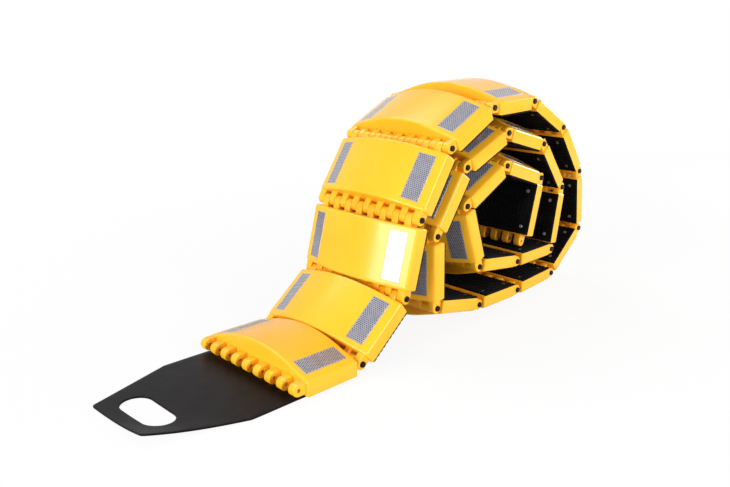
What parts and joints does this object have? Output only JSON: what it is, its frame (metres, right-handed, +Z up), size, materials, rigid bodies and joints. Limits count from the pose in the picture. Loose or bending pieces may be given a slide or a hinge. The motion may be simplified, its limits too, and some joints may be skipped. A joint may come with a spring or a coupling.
{
  "type": "roll-up speed bump",
  "caption": "Portable speed bump of hinged arched links with reflective panels and ribbed rubber soles, rolled up behind a flat pull plate with a hand slot.",
  "frame": {"origin": "on the road, under the middle of the first link, the one that the pull plate is screwed to", "axes": "+X along the hinge pins, +Y from the pull plate towards the roll, +Z up from the road"},
  "size_m": [0.224, 0.973, 0.4075],
  "materials": {
    "shell_yellow": "satin",
    "sole_rubber": "matt",
    "plate_sheet": "satin",
    "zinc_steel": "satin",
    "reflective_film": "gloss"
  },
  "bodies": {
    "link_01": {"link_01_shell": "shell_yellow", "link_01_reflectors": "reflective_film", "pull_plate": "plate_sheet", "pull_plate_screws": "zinc_steel"},
    "link_02": {"link_02_shell": "shell_yellow", "link_02_fittings": "sole_rubber"},
    "link_03": {"link_03_shell": "shell_yellow", "link_03_fittings": "sole_rubber"},
    "link_04": {"link_04_shell": "shell_yellow", "link_04_fittings": "sole_rubber"},
    "link_05": {"link_05_shell": "shell_yellow", "link_05_fittings": "sole_rubber"},
    "link_06": {"link_06_shell": "shell_yellow", "link_06_fittings": "sole_rubber"},
    "link_07": {"link_07_shell": "shell_yellow", "link_07_fittings": "sole_rubber"},
    "link_08": {"link_08_shell": "shell_yellow", "link_08_fittings": "sole_rubber"},
    "link_09": {"link_09_shell": "shell_yellow", "link_09_fittings": "sole_rubber"},
    "link_10": {"link_10_shell": "shell_yellow", "link_10_fittings": "sole_rubber"},
    "link_11": {"link_11_shell": "shell_yellow", "link_11_fittings": "sole_rubber"},
    "link_12": {"link_12_shell": "shell_yellow", "link_12_fittings": "sole_rubber"},
    "link_13": {"link_13_shell": "shell_yellow", "link_13_fittings": "sole_rubber"},
    "link_14": {"link_14_shell": "shell_yellow", "link_14_fittings": "sole_rubber"},
    "link_15": {"link_15_shell": "shell_yellow", "link_15_fittings": "sole_rubber"},
    "link_16": {"link_16_shell": "shell_yellow", "link_16_fittings": "sole_rubber"},
    "link_17": {"link_17_shell": "shell_yellow", "link_17_fittings": "sole_rubber"},
    "link_18": {"link_18_shell": "shell_yellow", "link_18_fittings": "sole_rubber"},
    "link_19": {"link_19_shell": "shell_yellow", "link_19_fittings": "sole_rubber"},
    "link_20": {"link_20_shell": "shell_yellow", "link_20_fittings": "sole_rubber"},
    "link_21": {"link_21_shell": "shell_yellow", "link_21_fittings": "sole_rubber"},
    "link_22": {"link_22_shell": "shell_yellow", "link_22_fittings": "sole_rubber"},
    "link_23": {"link_23_shell": "shell_yellow", "link_23_fittings": "sole_rubber"},
    "link_24": {"link_24_shell": "shell_yellow", "link_24_fittings": "sole_rubber"},
    "link_25": {"link_25_shell": "shell_yellow", "link_25_fittings": "sole_rubber"}
  },
  "joints": [
    {"name": "hinge_01", "type": "hinge", "parent": "link_01", "child": "link_02", "pos_m": [0, 0.06, 0.016], "axis": [1, 0, 0], "range_deg": [-40, 0]},
    {"name": "hinge_02", "type": "hinge", "parent": "link_02", "child": "link_03", "pos_m": [0, 0.15193, 0.09313], "axis": [1, 0, 0], "range_deg": [-37, 0]},
    {"name": "hinge_03", "type": "hinge", "parent": "link_03", "child": "link_04", "pos_m": [0, 0.17892, 0.21006], "axis": [1, 0, 0], "range_deg": [0, 19]},
    {"name": "hinge_04", "type": "hinge", "parent": "link_04", "child": "link_05", "pos_m": [0, 0.24251, 0.31183], "axis": [1, 0, 0], "range_deg": [0, 30]},
    {"name": "hinge_05", "type": "hinge", "parent": "link_05", "child": "link_06", "pos_m": [0, 0.34846, 0.36816], "axis": [1, 0, 0], "range_deg": [0, 25]},
    {"name": "hinge_06", "type": "hinge", "parent": "link_06", "child": "link_07", "pos_m": [0, 0.4683, 0.37444], "axis": [1, 0, 0], "range_deg": [0, 28]},
    {"name": "hinge_07", "type": "hinge", "parent": "link_07", "child": "link_08", "pos_m": [0, 0.57706, 0.32373], "axis": [1, 0, 0], "range_deg": [0, 23]},
    {"name": "hinge_08", "type": "hinge", "parent": "link_08", "child": "link_09", "pos_m": [0, 0.65735, 0.23455], "axis": [1, 0, 0], "range_deg": [0, 31]},
    {"name": "hinge_09", "type": "hinge", "parent": "link_09", "child": "link_10", "pos_m": [0, 0.68025, 0.11675], "axis": [1, 0, 0], "range_deg": [0, 62.5]},
    {"name": "hinge_10", "type": "hinge", "parent": "link_10", "child": "link_11", "pos_m": [0, 0.58634, 0.04205], "axis": [1, 0, 0], "range_deg": [0, 35]},
    {"name": "hinge_11", "type": "hinge", "parent": "link_11", "child": "link_12", "pos_m": [0, 0.46656, 0.03473], "axis": [1, 0, 0], "range_deg": [0, 4]},
    {"name": "hinge_12", "type": "hinge", "parent": "link_12", "child": "link_13", "pos_m": [0, 0.34656, 0.03577], "axis": [1, 0, 0], "range_deg": [0, 10.5]},
    {"name": "hinge_13", "type": "hinge", "parent": "link_13", "child": "link_14", "pos_m": [0, 0.22877, 0.05867], "axis": [1, 0, 0], "range_deg": [0, 74.5]},
    {"name": "hinge_14", "type": "hinge", "parent": "link_14", "child": "link_15", "pos_m": [0, 0.21935, 0.1783], "axis": [1, 0, 0], "range_deg": [0, 38]},
    {"name": "hinge_15", "type": "hinge", "parent": "link_15", "child": "link_16", "pos_m": [0, 0.28559, 0.27837], "axis": [1, 0, 0], "range_deg": [0, 33.5]},
    {"name": "hinge_16", "type": "hinge", "parent": "link_16", "child": "link_17", "pos_m": [0, 0.39605, 0.32526], "axis": [1, 0, 0], "range_deg": [0, 36]},
    {"name": "hinge_17", "type": "hinge", "parent": "link_17", "child": "link_18", "pos_m": [0, 0.51297, 0.29826], "axis": [1, 0, 0], "range_deg": [0, 34]},
    {"name": "hinge_18", "type": "hinge", "parent": "link_18", "child": "link_19", "pos_m": [0, 0.59481, 0.2105], "axis": [1, 0, 0], "range_deg": [0, 51]},
    {"name": "hinge_19", "type": "hinge", "parent": "link_19", "child": "link_20", "pos_m": [0, 0.57811, 0.09167], "axis": [1, 0, 0], "range_deg": [0, 81.5]},
    {"name": "hinge_20", "type": "hinge", "parent": "link_20", "child": "link_21", "pos_m": [0, 0.45811, 0.09062], "axis": [1, 0, 0], "range_deg": [0, 7.5]},
    {"name": "hinge_21", "type": "hinge", "parent": "link_21", "child": "link_22", "pos_m": [0, 0.33901, 0.10524], "axis": [1, 0, 0], "range_deg": [0, 60]},
    {"name": "hinge_22", "type": "hinge", "parent": "link_22", "child": "link_23", "pos_m": [0, 0.29212, 0.21571], "axis": [1, 0, 0], "range_deg": [0, 86]},
    {"name": "hinge_23", "type": "hinge", "parent": "link_23", "child": "link_24", "pos_m": [0, 0.39904, 0.27018], "axis": [1, 0, 0], "range_deg": [0, 43]},
    {"name": "hinge_24", "type": "hinge", "parent": "link_24", "child": "link_25", "pos_m": [0, 0.51439, 0.23711], "axis": [1, 0, 0], "range_deg": [0, 86.5]}
  ],
  "couplings": [
    {"joint": "hinge_01", "follows": "hinge_09", "ratio": -0.64},
    {"joint": "hinge_02", "follows": "hinge_09", "ratio": -0.592},
    {"joint": "hinge_03", "follows": "hinge_09", "ratio": 0.304},
    {"joint": "hinge_04", "follows": "hinge_09", "ratio": 0.48},
    {"joint": "hinge_05", "follows": "hinge_09", "ratio": 0.4},
    {"joint": "hinge_06", "follows": "hinge_09", "ratio": 0.448},
    {"joint": "hinge_07", "follows": "hinge_09", "ratio": 0.368},
    {"joint": "hinge_08", "follows": "hinge_09", "ratio": 0.496},
    {"joint": "hinge_10", "follows": "hinge_09", "ratio": 0.56},
    {"joint": "hinge_11", "follows": "hinge_09", "ratio": 0.064},
    {"joint": "hinge_12", "follows": "hinge_09", "ratio": 0.168},
    {"joint": "hinge_13", "follows": "hinge_09", "ratio": 1.192},
    {"joint": "hinge_14", "follows": "hinge_09", "ratio": 0.608},
    {"joint": "hinge_15", "follows": "hinge_09", "ratio": 0.536},
    {"joint": "hinge_16", "follows": "hinge_09", "ratio": 0.576},
    {"joint": "hinge_17", "follows": "hinge_09", "ratio": 0.544},
    {"joint": "hinge_18", "follows": "hinge_09", "ratio": 0.816},
    {"joint": "hinge_19", "follows": "hinge_09", "ratio": 1.304},
    {"joint": "hinge_20", "follows": "hinge_09", "ratio": 0.12},
    {"joint": "hinge_21", "follows": "hinge_09", "ratio": 0.96},
    {"joint": "hinge_22", "follows": "hinge_09", "ratio": 1.376},
    {"joint": "hinge_23", "follows": "hinge_09", "ratio": 0.688},
    {"joint": "hinge_24", "follows": "hinge_09", "ratio": 1.384}
  ]
}
